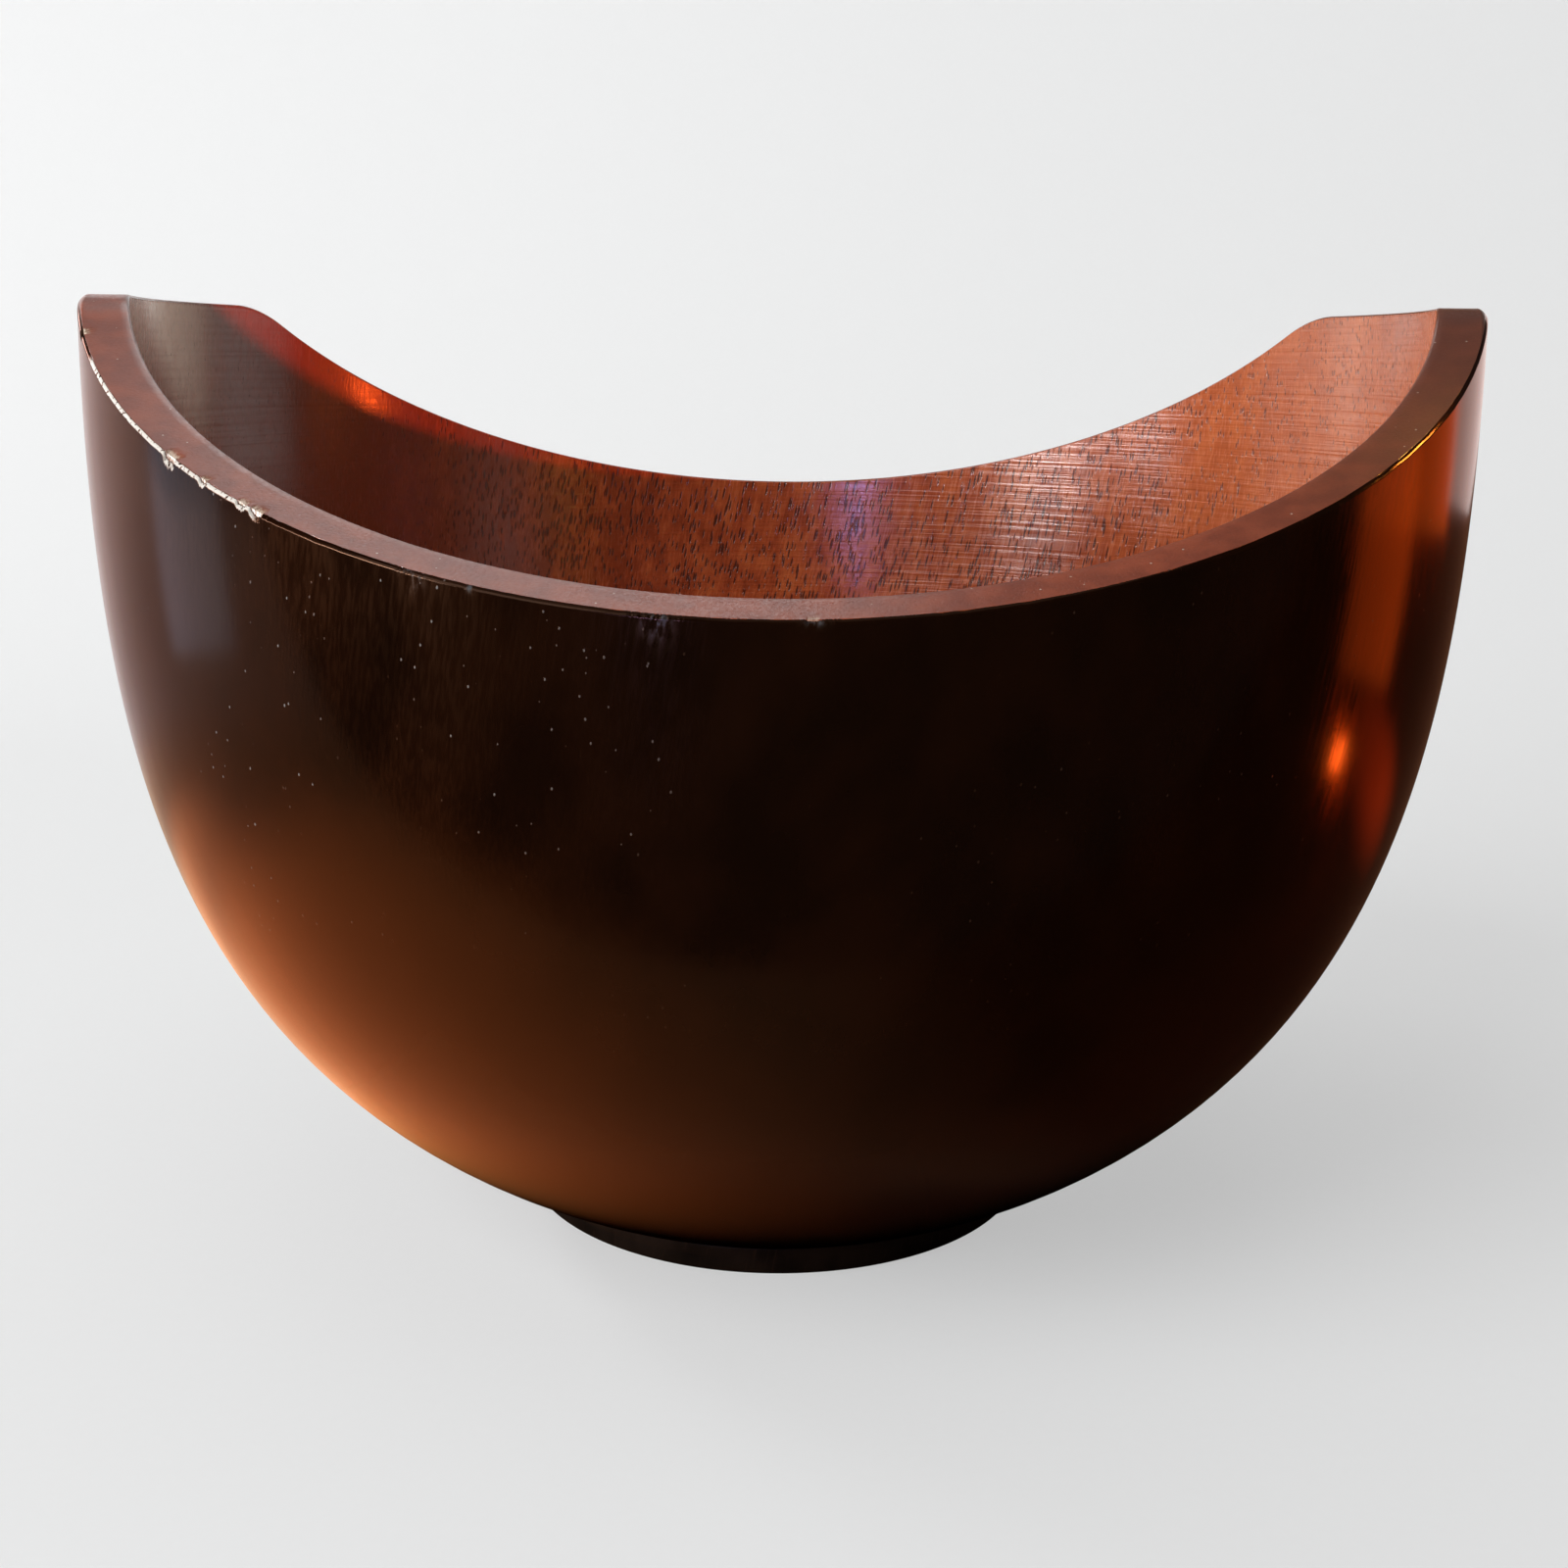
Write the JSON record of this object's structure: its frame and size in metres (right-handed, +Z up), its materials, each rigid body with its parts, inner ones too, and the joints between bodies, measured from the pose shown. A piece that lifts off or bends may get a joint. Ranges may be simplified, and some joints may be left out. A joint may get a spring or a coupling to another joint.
{
  "type": "wooden bowl",
  "caption": "Deep turned wooden bowl, red-brown inside and black lacquered outside, with a rim that sweeps down at front and back between flat-topped wings, on a low turned foot.",
  "frame": {"origin": "centre of the foot's underside, on the surface the bowl stands on", "axes": "+Z up the bowl's turning axis, +X towards one of the flat-topped wings, -Y towards the low point of the rim that faces the camera"},
  "size_m": [0.2548, 0.254, 0.176],
  "materials": {
    "red_brown_wood": "clear satin lacquer over open-pored red-brown wood",
    "black_lacquer": "black semi-gloss lacquer, lightly worn at the rim",
    "black_stained_wood": "black-brown stained wood, satin"
  },
  "bodies": {
    "root": {"bowl_shell": "red_brown_wood", "lacquer_coat": "black_lacquer", "turned_foot": "black_stained_wood"}
  },
  "joints": []
}
